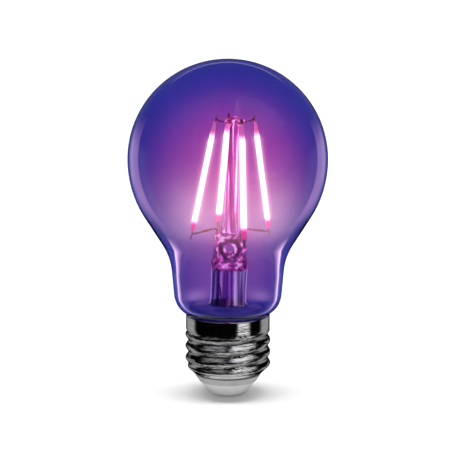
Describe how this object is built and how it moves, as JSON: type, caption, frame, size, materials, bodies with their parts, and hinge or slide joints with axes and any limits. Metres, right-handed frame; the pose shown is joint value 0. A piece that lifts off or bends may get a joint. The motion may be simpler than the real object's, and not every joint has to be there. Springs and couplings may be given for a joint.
{
  "type": "light bulb",
  "caption": "Round-headed LED filament lamp with clear tinted glass, leaning filament mount and screw cap.",
  "frame": {"origin": "middle of the centre contact's flat face, on the axis of the cap", "axes": "+Z along the lamp's axis from the contact to the crown of the glass; +X to the viewer's right in the picture, the side the inner mount leans to"},
  "size_m": [0.0604, 0.0604, 0.1027],
  "materials": {
    "tinted_glass": "clear blue-violet glass, polished",
    "stem_glass": "clear soda-lime glass, flame-worked",
    "phosphor_coat": "silicone with phosphor, lit pink-white",
    "filament_strip": "matt ceramic strip",
    "wire_metal": "drawn nickel wire and stamped tab",
    "cap_nickel": "bright nickel plate on rolled sheet",
    "cement": "matt basing cement",
    "insulator": "pale grey moulded insulator, satin",
    "contact_metal": "tinned brass",
    "solder": "dull solder",
    "circuit_board": "solder mask",
    "radio_board": "solder mask",
    "shield_metal": "tinned sheet",
    "copper": "enamelled copper",
    "chip_plastic": "moulded epoxy",
    "capacitor_sleeve": "shrink sleeve",
    "resistor_enamel": "enamel"
  },
  "bodies": {
    "root": {"glass_envelope": "tinted_glass", "stem_flare": "stem_glass", "stem_press": "stem_glass", "support_post": "stem_glass", "top_bead": "stem_glass", "exhaust_tube": "stem_glass", "filament_1_coat": "phosphor_coat", "filament_1_strip": "filament_strip", "filament_1_foot_tab": "wire_metal", "filament_1_head_tab": "wire_metal", "support_wire_1": "wire_metal", "hook_wire_1": "wire_metal", "filament_2_coat": "phosphor_coat", "filament_2_strip": "filament_strip", "filament_2_foot_tab": "wire_metal", "filament_2_head_tab": "wire_metal", "support_wire_2": "wire_metal", "hook_wire_2": "wire_metal", "filament_3_coat": "phosphor_coat", "filament_3_strip": "filament_strip", "filament_3_foot_tab": "wire_metal", "filament_3_head_tab": "wire_metal", "support_wire_3": "wire_metal", "hook_wire_3": "wire_metal", "filament_4_coat": "phosphor_coat", "filament_4_strip": "filament_strip", "filament_4_foot_tab": "wire_metal", "filament_4_head_tab": "wire_metal", "support_wire_4": "wire_metal", "hook_wire_4": "wire_metal", "lead_wire_left": "wire_metal", "lead_wire_right": "wire_metal", "live_wire": "wire_metal", "neutral_wire": "wire_metal", "screw_shell": "cap_nickel", "basing_cement": "cement", "cap_insulator": "insulator", "centre_contact": "contact_metal", "contact_solder": "solder", "shell_solder": "solder", "driver_board": "circuit_board", "radio_board": "radio_board", "radio_shield": "shield_metal", "radio_antenna": "copper", "inductor": "copper", "bridge_rectifier": "chip_plastic", "driver_ic": "chip_plastic", "smoothing_capacitor": "capacitor_sleeve", "fusible_resistor": "resistor_enamel"}
  },
  "joints": []
}
